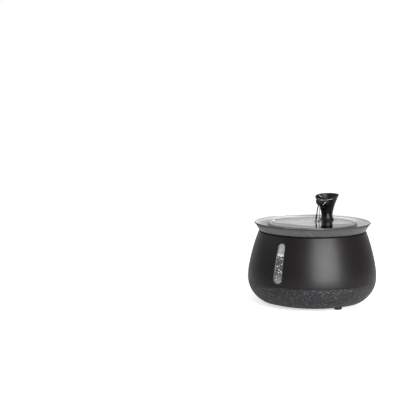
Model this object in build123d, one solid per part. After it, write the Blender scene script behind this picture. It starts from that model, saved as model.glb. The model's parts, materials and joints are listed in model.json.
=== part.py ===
from build123d import *
import math
import os

# Pet water fountain. Millimetres, +Z up, origin on the floor under the centre of the casing.
# The window and the pouring side face -Y, and the power inlet faces +Y.

# ---------------------------------------------------------------- casing profile
FOOT_HEIGHT = 4.5
BASE_Z = FOOT_HEIGHT
UNDERSIDE_R = 82.0
BELLY_R = 121.4
BELLY_Z = 52.0
LOW_ARC_R = 50.5
BELLY_ARC_R = 125.0
NECK_ARC_R = 340.0
LOW_ARC_ANGLE = 60.0
BELLY_ARC_ANGLE = 10.1
NECK_ARC_ANGLE = 12.6

SEAM_Z = 47.0
SEAM_GAP = 0.6
MOUTH_Z = 138.3
MOUTH_R = 92.5
LEDGE_THICKNESS = 2.6
BODY_WALL = 2.6
BASE_WALL = 3.0
TONGUE_HEIGHT = 4.3
TONGUE_INSET = 1.5
REBATE_WALL = 1.3

# ---------------------------------------------------------------- reservoir
TANK_INSET = 4.2
TANK_WALL = 2.0
TANK_FLOOR_Z = 22.0
TANK_RIM_Z = 134.5
TANK_GASKET_R = (95.5, 98.0)

# ---------------------------------------------------------------- window
WINDOW_LOW_Z = 53.2
WINDOW_HIGH_Z = 127.3
WINDOW_LOW_R = 9.8
WINDOW_HIGH_R = 8.2
GASKET_WIDTH = 1.0

# ---------------------------------------------------------------- feet, screws, inlet
FOOT_R = 7.6
FOOT_CIRCLE_R = 76.0
FOOT_RECESS = 1.0
FOOT_ANGLES = {"foot_right": -18.9, "foot_back": 101.1, "foot_left": 221.1}
FOOT_STEM_R = 2.4
SCREW_CIRCLE_R = 60.0
SCREW_ANGLES = (45.0, 135.0, 225.0, 315.0)
SCREW_R = 1.5
SCREW_HEAD_R = 3.2
SCREW_HEAD_Z = (BASE_Z + 0.9, BASE_Z + 3.0)
SCREW_TOP_Z = 20.0
BOSS_R = 4.5
BOSS_LOW_Z = 14.0
POCKET_HALF_WIDTH = 9.0
POCKET_FACE_Y = 99.5
POCKET_TOP_Z = 18.5
POCKET_WALL = 2.0
INLET_WIDTH = 8.94
INLET_HEIGHT = 3.26
INLET_DEPTH = 7.3
BOARD_Z = 11.5
BOARD_THICKNESS = 1.6

# ---------------------------------------------------------------- pump
PUMP_Y = 54.0
PUMP_Z = 43.0
PUMP_BLOCK = (48.0, 37.0, 30.0)
CHAMBER_FRONT_Y = 48.0
CHAMBER_BACK_Y = 59.5
CHAMBER_R = 12.4
CHAMBER_OUTER_R = 14.4
CAN_R = 6.6
CAN_WALL = 1.4
CAN_BACK_Y = 87.0
MOTOR_ROOM_R = 14.0
MOTOR_ROOM_Y = (64.0, 82.0)
CORE_Y = (66.0, 80.0)
SHAFT_R = 1.0
SHAFT_CLEARANCE = 0.05
IMPELLER_R = 10.8
BLADES = 6
BLADE_THICKNESS = 1.2
COVER_FRONT_Y = 22.0
COVER_WALL = 1.8
COVER_SECTORS = 4
DIAL_R = 15.0
COIL_Y = 80.5
TRANSMITTER_R = (7.0, 16.5)
RECEIVER_R = (6.0, 13.5)
FERRITE_R = (3.0, 14.0)
FIN_PLACES = (-13.4, -7.0, 7.0, 13.4)
FIN_THICKNESS = 1.2

# ---------------------------------------------------------------- bowl
SHEET = 0.8
DISH_FLOOR_Z = 145.0
DISH_SLOPE_RUN = 6.0
RIDGE_R = 83.3
RIDGE_Z = 156.5
RIDGE_FOOT_R = 86.1
MOAT_Z = 139.6
MOAT_OUTER_R = 98.9
WALL_BEND = (103.6, 147.5)
RIM_R = 108.2
RIM_Z = 154.8
RIM_BEAD_R = 1.3
DRAIN_SLOTS = 24
DRAIN_R = 88.2
SEAL_R = (91.0, 92.2, 96.8)
SEAL_LOW_Z = 132.0

# ---------------------------------------------------------------- spout
SPOUT_Y = PUMP_Y
STEM_R = 8.5
STEM_LOW_Z = 118.0
SOCKET_HOLE_R = 11.7
SOCKET_LOW_Z = 130.5
NUT_R = 14.4
NUT_LOW_Z = 139.2
NUT_TOP_Z = 143.4
NUT_FLUTES = 12
RISER_CUP_R = 8.8
RING_R = 8.75
RING_SECTION = 1.6
RING_Z = 123.9
BORE_R = 5.6
WAIST_R = 10.7
WAIST_Z = 162.0
RIM_CUT_Z = 204.5
WELL_LOW_Z = 177.0
WELL_POWER = 0.62
SPOUT_WALL = 1.9
SKIRT_R = 16.0
SKIRT_GAP = 0.5
FLANGE_R = 14.0
FLANGE_HEIGHT = 1.5
FLARE = 14.4
FLARE_POWER = 1.55
LEAN = 3.6
STRETCH = 0.6
SPOUT_LEVELS = 7
LIP_CENTRE = (0.0, -18.0, 191.5)
LIP_RADII = (12.8, 11.8, 11.5)
LIP_BLEND_R = 3.0
RIM_BACK = (30.0, 204.0)
RIM_FRONT = ((0, 200.8), (-10, 198.0), (-17.5, 194.6), (-22, 192.6), (-26.5, 188.5), (-29.5, 182.0))

# ---------------------------------------------------------------- filter
BASKET_R = 90.7
BASKET_TOP_Z = 137.5
FUNNEL_EDGE_Z = 129.6
FUNNEL_FOOT_Z = 126.0
FUNNEL_FOOT_R = 40.0
BASKET_WALL = 1.6
CUP_CENTRE_Y = -14.0
CUP_R = 44.0
CUP_LOW_Z = 112.0
CUP_TOP_Z = 127.6
CHIMNEY_R = 17.6
CHIMNEY_LOW_Z = 124.0
CHIMNEY_TOP_Z = 136.6
GRID_Z = 122.6


# ================================================================ helpers
def polar(radius, degrees, z=0.0):
    angle = math.radians(degrees)
    return Pos(radius * math.cos(angle), radius * math.sin(angle), z)


def rod(radius, low, high):
    """Upright cylinder from low to high."""
    return Pos(0, 0, (low + high) / 2) * Cylinder(radius, high - low)


def tube(outer, inner, low, high):
    return rod(outer, low, high) - rod(inner, low - 1, high + 1)


def rod_y(radius, front, back):
    """Level cylinder along Y at the pump's height, from front to back."""
    return Pos(0, (front + back) / 2, PUMP_Z) * Rot(90, 0, 0) * Cylinder(radius, back - front)


def tube_y(outer, inner, front, back):
    return rod_y(outer, front, back) - rod_y(inner, front - 1, back + 1)


def block(x, y, z):
    """Box between pairs of limits."""
    size = [limits[1] - limits[0] for limits in (x, y, z)]
    centre = [(limits[0] + limits[1]) / 2 for limits in (x, y, z)]
    return Pos(*centre) * Box(*size)


def revolved(points):
    """Solid of revolution about Z of a closed outline of (radius, height) points."""
    outline = make_face(Plane.XZ * Polyline(*points, close=True))
    return revolve(outline, Axis.Z)


def moved(shape, *places):
    """Copies of one shape, as one group of separate solids."""
    return Compound(children=[place * shape for place in places])


def joined(shape, places):
    """Copies of one shape, fused."""
    return Part() + [place * shape for place in places]


# ================================================================ casing
def casing_fill(inset, low, high):
    """Everything inside the casing's outer line moved inwards by inset, between two heights."""
    turn = math.radians(BELLY_ARC_ANGLE)
    low_centre = (BELLY_R - LOW_ARC_R, BELLY_Z)
    belly_centre = (BELLY_R - BELLY_ARC_R, BELLY_Z)
    neck_shift = BELLY_ARC_R - NECK_ARC_R
    neck_centre = (
        belly_centre[0] + neck_shift * math.cos(turn),
        belly_centre[1] + neck_shift * math.sin(turn),
    )
    with BuildSketch(Plane.XZ) as section:
        with BuildLine():
            lower = CenterArc(low_centre, LOW_ARC_R - inset, -LOW_ARC_ANGLE, LOW_ARC_ANGLE)
            CenterArc(belly_centre, BELLY_ARC_R - inset, 0, BELLY_ARC_ANGLE)
            neck = CenterArc(neck_centre, NECK_ARC_R - inset, BELLY_ARC_ANGLE, NECK_ARC_ANGLE)
            floor = BASE_Z + inset
            Polyline(neck @ 1, (0, (neck @ 1).Y), (0, floor), (UNDERSIDE_R, floor), lower @ 0)
        make_face()
        with Locations((BELLY_R, (low + high) / 2)):
            Rectangle(2 * BELLY_R, high - low, mode=Mode.INTERSECT)
    return revolve(section.sketch, Axis.Z)


def window_prism(grow=0.0):
    """Upright slot, wider at its foot, pushed through the front of the casing."""
    low_r = WINDOW_LOW_R + grow
    high_r = WINDOW_HIGH_R + grow
    with BuildSketch(Plane.XZ) as slot:
        with Locations((0, WINDOW_LOW_Z + WINDOW_LOW_R)):
            Circle(low_r)
        with Locations((0, WINDOW_HIGH_Z - WINDOW_HIGH_R)):
            Circle(high_r)
        make_hull()
    return extrude(slot.sketch, amount=1.2 * BELLY_R)


def body_shell():
    low = SEAM_Z + SEAM_GAP / 2
    shell = casing_fill(0, low, MOUTH_Z) - casing_fill(BODY_WALL, low - 1, MOUTH_Z - LEDGE_THICKNESS)
    shell -= rod(MOUTH_R, low, MOUTH_Z + 1)
    tongue = casing_fill(TONGUE_INSET, SEAM_Z - TONGUE_HEIGHT, low + 1)
    tongue -= casing_fill(BODY_WALL, SEAM_Z - TONGUE_HEIGHT - 1, low + 2)
    mouth_edge = shell.edges().filter_by(GeomType.CIRCLE).group_by(Axis.Z)[-1].sort_by(SortBy.RADIUS)[-1]
    shell = fillet(mouth_edge, 0.9)
    return shell + tongue - window_prism()


def window_lens():
    clear = window_prism(-GASKET_WIDTH)
    return clear & (casing_fill(0.3, SEAM_Z, MOUTH_Z) - casing_fill(3.4, SEAM_Z - 1, MOUTH_Z + 1))


def window_gasket():
    ring = window_prism() - window_prism(-GASKET_WIDTH)
    return ring & (casing_fill(0.15, SEAM_Z, MOUTH_Z) - casing_fill(3.0, SEAM_Z - 1, MOUTH_Z + 1))


def inlet_z():
    return BOARD_Z + BOARD_THICKNESS + INLET_HEIGHT / 2


def base_shell():
    floor_z = BASE_Z + BASE_WALL
    shell = casing_fill(0, BASE_Z, SEAM_Z - SEAM_GAP / 2)
    under_edges = shell.edges().filter_by(GeomType.CIRCLE).group_by(Axis.Z)
    shell = fillet(under_edges[0] + under_edges[1], 1.2)
    shell -= casing_fill(BASE_WALL, floor_z, SEAM_Z - TONGUE_HEIGHT - 0.2)
    shell -= casing_fill(REBATE_WALL, SEAM_Z - TONGUE_HEIGHT - 0.3, SEAM_Z + 1)
    pillar = rod(BOSS_R, floor_z - 0.5, BOSS_LOW_Z - 0.1)
    shell += [polar(SCREW_CIRCLE_R, angle) * pillar for angle in SCREW_ANGLES]
    post = rod(2.6, floor_z - 0.5, BOARD_Z)
    shell += [Pos(x, y) * post for x, y in board_posts()]
    shell -= [Pos(x, y) * rod(1.2, BOARD_Z - 1.7, BOARD_Z + 1) for x, y in board_posts()]
    width = POCKET_HALF_WIDTH + POCKET_WALL
    back = POCKET_FACE_Y - POCKET_WALL
    housing = block((-width, width), (back, BELLY_R), (BASE_Z, POCKET_TOP_Z + POCKET_WALL))
    shell += housing & casing_fill(0.5, BASE_Z + 1.5, SEAM_Z)
    shell -= block((-POCKET_HALF_WIDTH, POCKET_HALF_WIDTH), (POCKET_FACE_Y, BELLY_R), (0, POCKET_TOP_Z))
    shell -= Pos(0, POCKET_FACE_Y + 1, inlet_z()) * inlet_prism(0.2, 2 * POCKET_WALL)
    for angle in FOOT_ANGLES.values():
        shell -= polar(FOOT_CIRCLE_R, angle) * rod(FOOT_R + 0.2, 0, BASE_Z + FOOT_RECESS)
        shell -= polar(FOOT_CIRCLE_R, angle) * rod(FOOT_STEM_R + 0.1, 0, floor_z + 1)
    for angle in SCREW_ANGLES:
        shell -= polar(SCREW_CIRCLE_R, angle) * rod(SCREW_R + 0.25, 0, BOSS_LOW_Z + 1)
        shell -= polar(SCREW_CIRCLE_R, angle) * rod(SCREW_HEAD_R + 0.4, 0, SCREW_HEAD_Z[1])
    recess = tube(48.0, 45.0, BASE_Z - 1, BASE_Z + 0.6)
    return shell - recess


def foot():
    """Rubber foot with a mushroom stem that is pulled through the base's floor."""
    low = BASE_Z + FOOT_RECESS
    pad = revolved([(0, 0), (FOOT_R - 1.3, 0), (FOOT_R - 0.4, 0.9), (FOOT_R, low), (0, low)])
    stem = rod(FOOT_STEM_R, low - 0.5, BASE_Z + BASE_WALL + 0.5)
    cap_z = BASE_Z + BASE_WALL
    cap = revolved([(0, cap_z), (3.4, cap_z), (3.4, cap_z + 0.6), (1.6, cap_z + 1.7), (0, cap_z + 1.7)])
    return pad + stem + cap


def base_screws():
    low, seat = SCREW_HEAD_Z
    slot = block((-2.0, 2.0), (-0.35, 0.35), (low - 1, low + 1.1))
    screw = rod(SCREW_HEAD_R, low, seat) + rod(SCREW_R - 0.1, seat - 1, SCREW_TOP_Z)
    screw -= slot + Rot(0, 0, 90) * slot
    return moved(screw, *[polar(SCREW_CIRCLE_R, angle) for angle in SCREW_ANGLES])


# ================================================================ power supply in the base
def inlet_prism(grow, depth):
    """Slot-ended prism of the low-voltage socket, from its mouth towards -Y."""
    with BuildSketch(Plane.XZ) as slot:
        SlotOverall(INLET_WIDTH + 2 * grow, INLET_HEIGHT + 2 * grow)
    return extrude(slot.sketch, amount=depth)


def power_inlet():
    shell = inlet_prism(0, INLET_DEPTH) - Pos(0, 1, 0) * inlet_prism(-0.3, INLET_DEPTH)
    tongue = block((-3.3, 3.3), (-INLET_DEPTH + 0.5, -1.2), (-0.35, 0.35))
    return Pos(0, POCKET_FACE_Y, inlet_z()) * (shell + tongue)


def board_posts():
    return [(-18.0, 66.0), (18.0, 66.0), (-18.0, 86.0), (18.0, 86.0)]


def control_board():
    top = BOARD_Z + BOARD_THICKNESS
    board = block((-22, 22), (62, 90), (BOARD_Z, top)) + block((-6, 6), (62, 93.8), (BOARD_Z, top))
    board -= [Pos(x, y) * rod(1.4, BOARD_Z - 1, top + 1) for x, y in board_posts()]
    chip = block((-4, 4), (70, 78), (top - 0.1, top + 1.2))
    capacitor = Pos(11, 76) * rod(3.0, top - 0.1, top + 3.6)
    inductor = block((-14, -8), (77, 83), (top - 0.1, top + 2.8))
    return board + chip + capacitor + inductor


def board_screws():
    top = BOARD_Z + BOARD_THICKNESS
    screw = rod(2.4, top, top + 1.3) + rod(1.1, BOARD_Z - 1.6, top + 0.5)
    return moved(screw, *[Pos(x, y) for x, y in board_posts()])


def transmitter_coil():
    inner, outer = TRANSMITTER_R
    return Pos(0, COIL_Y) * tube(outer, inner, TANK_FLOOR_Z - 1.7, TANK_FLOOR_Z - 0.2)


def coil_ferrite():
    inner, outer = FERRITE_R
    return Pos(0, COIL_Y) * tube(outer, inner, TANK_FLOOR_Z - 3.3, TANK_FLOOR_Z - 1.8)


def coil_leads():
    lead = rod(0.6, BOARD_Z + BOARD_THICKNESS, TANK_FLOOR_Z - 1.7)
    side = TRANSMITTER_R[1] - 1.2
    return moved(lead, Pos(-side, COIL_Y), Pos(side, COIL_Y))


# ================================================================ reservoir
def reservoir_tank():
    floor_top = TANK_FLOOR_Z + TANK_WALL
    tank = casing_fill(TANK_INSET, TANK_FLOOR_Z, TANK_RIM_Z)
    tank -= casing_fill(TANK_INSET + TANK_WALL, floor_top, TANK_RIM_Z + 1)
    boss = rod(BOSS_R, BOSS_LOW_Z, TANK_FLOOR_Z + 0.5) - rod(SCREW_R, BOSS_LOW_Z - 1, TANK_FLOOR_Z - 1)
    tank += [polar(SCREW_CIRCLE_R, angle) * boss for angle in SCREW_ANGLES]
    _, y, _ = pump_limits()
    guide = block((26.5, 28.5), (y[0] + 4, y[1] - 4), (floor_top - 0.5, floor_top + 4.0))
    return tank + guide + mirror(guide, Plane.YZ)


def tank_gasket():
    inner, outer = TANK_GASKET_R
    return tube(outer, inner, TANK_RIM_Z, MOUTH_Z - LEDGE_THICKNESS)


# ================================================================ pump
def rounded_block(x, y, z, radius):
    solid = block(x, y, z)
    return fillet(solid.edges().filter_by(Axis.Y), radius)


def pump_limits():
    width, depth, height = PUMP_BLOCK
    x = (-width / 2, width / 2)
    y = (CHAMBER_BACK_Y, CHAMBER_BACK_Y + depth)
    z = (PUMP_Z - height / 2, PUMP_Z + height / 2)
    return x, y, z


def pump_housing():
    """Sealed motor block with its rotor can, the volute in front and the outlet on top."""
    x, y, z = pump_limits()
    body = rounded_block(x, y, z, 5.0)
    body += rod_y(CHAMBER_OUTER_R, CHAMBER_FRONT_Y, CHAMBER_BACK_Y + 1)
    body += Pos(0, PUMP_Y) * rod(8.0, PUMP_Z + 10, PUMP_Z + 23)
    body -= Pos(0, PUMP_Y) * rod(BORE_R, PUMP_Z + 8, PUMP_Z + 24)
    body -= rod_y(CHAMBER_R, CHAMBER_FRONT_Y - 1, CHAMBER_BACK_Y)
    body -= tube_y(MOTOR_ROOM_R, CAN_R + CAN_WALL, *MOTOR_ROOM_Y)
    body -= rod_y(CAN_R, CHAMBER_BACK_Y - 1, CAN_BACK_Y)
    body -= rod_y(3.0, CAN_BACK_Y - 1, CAN_BACK_Y + 3)
    coil_room = Pos(0, COIL_Y) * rod(RECEIVER_R[1] + 0.3, z[0] - 1, z[0] + 0.3)
    body -= rod_y(CHAMBER_OUTER_R + 0.1, CHAMBER_FRONT_Y - 5, CHAMBER_FRONT_Y)
    fin = block((-FIN_THICKNESS / 2, FIN_THICKNESS / 2), (y[0] + 6, y[1] - 6), (z[1] - 0.2, z[1] + 1.6))
    return body - coil_room + [Pos(side, 0) * fin for side in FIN_PLACES]


def pump_suction_cups():
    x, y, z = pump_limits()
    floor_top = TANK_FLOOR_Z + TANK_WALL
    cup = revolved([
        (0, z[0]), (2.2, z[0]), (2.2, z[0] - 1.4), (6.0, floor_top), (5.2, floor_top),
        (1.4, floor_top + 2.0), (0, floor_top + 2.2),
    ])
    corners = [(sx * 17.0, place) for sx in (-1, 1) for place in (y[0] + 7, y[1] - 6)]
    return moved(cup, *[Pos(cx, cy) for cx, cy in corners])


def volute_cover():
    """Front plate of the volute, with the eye and a spoked seat for the shaft's front bush."""
    front = CHAMBER_FRONT_Y - 2.5
    plate = rod_y(CHAMBER_OUTER_R, front, CHAMBER_FRONT_Y) - rod_y(6.8, front - 1, CHAMBER_FRONT_Y + 1)
    plate += tube_y(3.4, 2.2, front, CHAMBER_FRONT_Y)
    spoke = block((2.8, 7.4), (front, CHAMBER_FRONT_Y), (-0.8, 0.8))
    for turn in range(3):
        plate += Pos(0, 0, PUMP_Z) * Rot(0, 90 + 120 * turn, 0) * spoke
    return plate


def shaft_bush_front():
    return tube_y(2.15, SHAFT_R, CHAMBER_FRONT_Y - 2.5, CHAMBER_FRONT_Y)


def shaft_bush_rear():
    return rod_y(2.9, CAN_BACK_Y + 0.1, CAN_BACK_Y + 2.9) - rod_y(SHAFT_R, CAN_BACK_Y, CAN_BACK_Y + 2.0)


def impeller_shaft():
    return rod_y(SHAFT_R, CHAMBER_FRONT_Y - 2.3, CAN_BACK_Y + 2.0)


def impeller():
    """Backward-curved blades on a shroud, on the sleeve that carries the magnet."""
    front, back = CHAMBER_FRONT_Y + 1.5, CHAMBER_BACK_Y - 1.5
    with BuildSketch() as blade:
        with BuildLine():
            inner_side = ThreePointArc((3.0, 0), (7.2, 1.7), (IMPELLER_R - 0.3, 0.6))
            outer_side = ThreePointArc((3.0, -BLADE_THICKNESS), (7.4, 0.5), (IMPELLER_R - 0.2, -0.5))
            Line(inner_side @ 0, outer_side @ 0)
            Line(inner_side @ 1, outer_side @ 1)
        make_face()
    one = extrude(blade.sketch, amount=back - front)
    blades = joined(one, [Rot(0, 0, 360 * turn / BLADES) for turn in range(BLADES)])
    shroud = rod(IMPELLER_R, back - front - 0.1, back - front + 1.0)
    sleeve = rod(3.4, 0, back - front + 1.0) + rod(2.4, 0, CAN_BACK_Y - 1.5 - front)
    wheel = blades + shroud + sleeve - rod(SHAFT_R + SHAFT_CLEARANCE, -1, CAN_BACK_Y)
    return Pos(0, front, PUMP_Z) * Rot(-90, 0, 0) * wheel


def rotor_magnet():
    return tube_y(CAN_R - 0.4, 2.4, CHAMBER_BACK_Y + 1.0, CAN_BACK_Y - 1.5)


def stator_core():
    """Ring of laminations with teeth that reach in to the can."""
    ring = tube_y(MOTOR_ROOM_R - 0.2, MOTOR_ROOM_R - 2.4, *CORE_Y)
    tooth = block((CAN_R + CAN_WALL + 0.2, MOTOR_ROOM_R - 1.8), CORE_Y, (-1.4, 1.4))
    for turn in range(BLADES):
        ring += Pos(0, 0, PUMP_Z) * Rot(0, 60 * turn, 0) * tooth
    return ring


def stator_windings():
    front, back = CORE_Y
    coil = block((8.8, 11.2), (front - 1.4, back + 1.4), (-2.9, 2.9))
    coil -= block((8.0, 12.0), (front - 0.2, back + 0.2), (-1.6, 1.6))
    return moved(coil, *[Pos(0, 0, PUMP_Z) * Rot(0, 60 * turn, 0) for turn in range(BLADES)])


def receiver_coil():
    low = pump_limits()[2][0]
    inner, outer = RECEIVER_R
    return Pos(0, COIL_Y) * tube(outer, inner, low - 1.1, low + 0.3)


def riser_tube():
    low = PUMP_Z + 17.5
    shape = revolved([
        (8.05, low), (10.2, low), (10.2, low + 7), (8.2, low + 10), (8.2, 112), (11.0, 115), (11.0, 129),
        (RISER_CUP_R, 129), (RISER_CUP_R, 116), (6.2, 113.4), (6.2, low + 7.6), (8.05, low + 6.4),
    ])
    return Pos(0, SPOUT_Y) * shape


def sector_holes(inner, outer, start, degrees):
    """Four windows between two radii, pushed along Z."""
    ring = tube(outer, inner, -30, 30)
    keep = Part()
    for turn in range(COVER_SECTORS):
        with BuildSketch() as wedge:
            with BuildLine():
                Polyline(
                    (0, 0),
                    (2 * outer, 0),
                    (2 * outer, 2 * outer * math.tan(math.radians(degrees))),
                    close=True,
                )
            make_face()
        place = Rot(0, 0, start + 360 * turn / COVER_SECTORS)
        keep += place * extrude(wedge.sketch, amount=30, both=True)
    return ring & keep


def on_cover(shape):
    """Turns a shape drawn about Z so that its +Z points forwards, at the front of the strainer."""
    return Pos(0, COVER_FRONT_Y, PUMP_Z) * Rot(90, 0, 0) * shape


def pump_cover():
    """Box over the pump's front that holds the foam, with four windows and the pin of the dial."""
    x, _, z = pump_limits()
    depth = (COVER_FRONT_Y, CHAMBER_BACK_Y - 0.3)
    outer = rounded_block((x[0] - 2, x[1] + 2), depth, (z[0] - 1.3, z[1] + 2), 6.0)
    room = (COVER_FRONT_Y + COVER_WALL, CHAMBER_BACK_Y)
    inner = rounded_block((x[0] - 0.2, x[1] + 0.2), room, (z[0] + 0.3, z[1] + 0.2), 4.5)
    cover = outer - inner
    cover -= on_cover(sector_holes(5.0, 13.4, 0, 42))
    pin = rod(2.5, -1.0, 3.2) + rod(3.6, 2.8, 4.2)
    cover += on_cover(pin)
    outlet_notch = block((-9.0, 9.0), (PUMP_Y - 9.0, CHAMBER_BACK_Y + 1), (z[1] - 5, z[1] + 4))
    return cover - outlet_notch


def pump_foam():
    x, _, z = pump_limits()
    depth = (COVER_FRONT_Y + COVER_WALL + 0.2, CHAMBER_FRONT_Y - 3.0)
    return rounded_block((x[0] + 0.8, x[1] - 0.8), depth, (z[0] + 2, z[1] - 0.6), 4.0)


def flow_dial():
    """Disc that turns on the strainer's pin and closes its windows, with a finger tab."""
    disc = rod(DIAL_R, 0.4, 2.2) + rod(4.6, 0.4, 2.5)
    tab = block((DIAL_R - 2, DIAL_R + 4), (-2, 2), (0.4, 3.0))
    disc += Rot(0, 0, 66) * tab
    disc -= sector_holes(5.4, 13.0, 1, 40)
    return on_cover(disc - rod(2.55, -1, 5))


# ================================================================ bowl
def drinking_bowl():
    """Pressed sheet: dish, ridge, moat and flared wall in one, with a rolled rim and drain slots."""
    top = [
        (0, DISH_FLOOR_Z),
        (RIDGE_R - DISH_SLOPE_RUN, DISH_FLOOR_Z),
        (RIDGE_R, RIDGE_Z),
        (RIDGE_FOOT_R, MOAT_Z),
        (MOAT_OUTER_R, MOAT_Z),
        WALL_BEND,
        (RIM_R, RIM_Z),
    ]
    bends = [5.0, 1.3, 1.6, 2.2, 10.0]
    with BuildSketch(Plane.XZ) as section:
        with BuildLine():
            FilletPolyline(*top, radius=bends)
            offset(amount=SHEET, side=Side.RIGHT)
        make_face()
    bowl = revolve(section.sketch, Axis.Z)
    bowl += Pos(0, 0, RIM_Z) * Torus(RIM_R, RIM_BEAD_R)
    bowl -= Pos(0, SPOUT_Y) * rod(SOCKET_HOLE_R, DISH_FLOOR_Z - 5, DISH_FLOOR_Z + 5)
    with BuildSketch() as slot:
        SlotOverall(9.0, 2.4, rotation=90)
    cutter = Pos(DRAIN_R, 0, MOAT_Z - 5) * extrude(slot.sketch, amount=10)
    return bowl - [Rot(0, 0, 360 * (turn + 0.5) / DRAIN_SLOTS) * cutter for turn in range(DRAIN_SLOTS)]


def bowl_seal():
    """Silicone ring under the moat, with the skirt that centres the bowl and grips the basket."""
    top = MOAT_Z - SHEET
    inner, skirt, outer = SEAL_R
    return revolved([
        (inner, top),
        (outer, top),
        (outer, MOUTH_Z),
        (skirt, MOUTH_Z),
        (skirt, SEAL_LOW_Z + 0.6),
        (skirt - 0.6, SEAL_LOW_Z),
        (inner, SEAL_LOW_Z),
    ])


def spout_socket():
    """Flanged bush through the dish that the spout's stem slides in."""
    top = DISH_FLOOR_Z + FLANGE_HEIGHT
    collar = revolved([
        (RISER_CUP_R, SOCKET_LOW_Z),
        (SOCKET_HOLE_R - 0.1, SOCKET_LOW_Z),
        (SOCKET_HOLE_R - 0.1, DISH_FLOOR_Z),
        (FLANGE_R, DISH_FLOOR_Z),
        (FLANGE_R, top - 0.5),
        (FLANGE_R - 0.6, top),
        (RISER_CUP_R, top),
    ])
    return Pos(0, SPOUT_Y) * collar


def socket_nut():
    nut = tube(NUT_R, SOCKET_HOLE_R, NUT_LOW_Z, NUT_TOP_Z)
    flute = Pos(NUT_R + 0.6, 0) * rod(1.6, NUT_LOW_Z - 1, NUT_TOP_Z + 1)
    nut -= [Rot(0, 0, 360 * turn / NUT_FLUTES) * flute for turn in range(NUT_FLUTES)]
    return Pos(0, SPOUT_Y) * nut


def socket_washer():
    return Pos(0, SPOUT_Y) * tube(NUT_R + 0.2, SOCKET_HOLE_R, NUT_TOP_Z, DISH_FLOOR_Z - SHEET)


# ================================================================ spout
def leaning_ellipse(height, radius, rise):
    """Level section of the trumpet, which leans and lengthens towards the lip as it rises."""
    return Pos(0, -LEAN * rise**FLARE_POWER, height) * Ellipse(radius, radius + STRETCH * rise)


def trumpet():
    """Outside of the column, from the waist up past the rim."""
    sections = []
    for level in range(SPOUT_LEVELS):
        rise = level / (SPOUT_LEVELS - 1)
        height = WAIST_Z + rise * (RIM_CUT_Z - WAIST_Z)
        sections.append(leaning_ellipse(height, WAIST_R + FLARE * rise**FLARE_POWER, rise))
    return loft(sections)


def scoop_well():
    """Hollow of the scoop, from the bore up past the rim."""
    sections = []
    for level in range(SPOUT_LEVELS):
        climb = level / (SPOUT_LEVELS - 1)
        height = WELL_LOW_Z + climb * (RIM_CUT_Z - WELL_LOW_Z)
        rise = (height - WAIST_Z) / (RIM_CUT_Z - WAIST_Z)
        width = WAIST_R + FLARE - SPOUT_WALL - BORE_R
        sections.append(leaning_ellipse(height, BORE_R + width * climb**WELL_POWER, rise))
    return loft(sections)


def above_scoop_rim():
    """Everything above the rim, which falls from the back to the lip and rolls over it."""
    with BuildSketch(Plane.YZ) as side:
        with BuildLine():
            rim = Spline(RIM_BACK, *RIM_FRONT)
            Polyline(rim @ 1, (-60, (rim @ 1).Y), (-60, 230), ((rim @ 0).X, 230), rim @ 0)
        make_face()
    return extrude(side.sketch, amount=40, both=True)


def spout_foot():
    """Skirt that hides the socket's flange and sweeps up into the waist of the column."""
    low = DISH_FLOOR_Z + SKIRT_GAP
    with BuildSketch(Plane.XZ) as side:
        with BuildLine():
            skirt = Spline(
                (SKIRT_R, DISH_FLOOR_Z + 1.5),
                (14.3, 153.0),
                (11.7, 157.4),
                (WAIST_R, WAIST_Z),
                tangents=((0, 1), (0, 1)),
            )
            Polyline(skirt @ 1, (0, WAIST_Z), (0, low), (SKIRT_R, low), skirt @ 0)
        make_face()
    return revolve(side.sketch, Axis.Z)


def spout():
    """Column on a flared foot that opens into a scoop, whose rim falls forwards to a drooping lip."""
    flare = trumpet()
    lip = Pos(*LIP_CENTRE) * scale(Sphere(1.0), by=LIP_RADII)
    seams = (flare + lip).edges() - flare.edges() - lip.edges()
    body = fillet(seams, LIP_BLEND_R) + spout_foot() - scoop_well() - above_scoop_rim()
    body -= rod(FLANGE_R + 1.0, DISH_FLOOR_Z, DISH_FLOOR_Z + FLANGE_HEIGHT)
    body += rod(STEM_R, STEM_LOW_Z, DISH_FLOOR_Z + 3.0)
    body -= rod(BORE_R, STEM_LOW_Z - 1, 183.0)
    body -= tube(STEM_R + 1, RING_R - RING_SECTION - 0.05, RING_Z - 0.9, RING_Z + 0.9)
    return Pos(0, SPOUT_Y) * body


def spout_o_ring():
    half = RING_SECTION / 2
    section = make_face(Plane.XZ * RegularPolygon(half / math.cos(math.pi / 8), 8, rotation=22.5).wire())
    return Pos(0, SPOUT_Y, RING_Z) * revolve(Pos(RING_R - half, 0) * section, Axis.Z)


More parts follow.
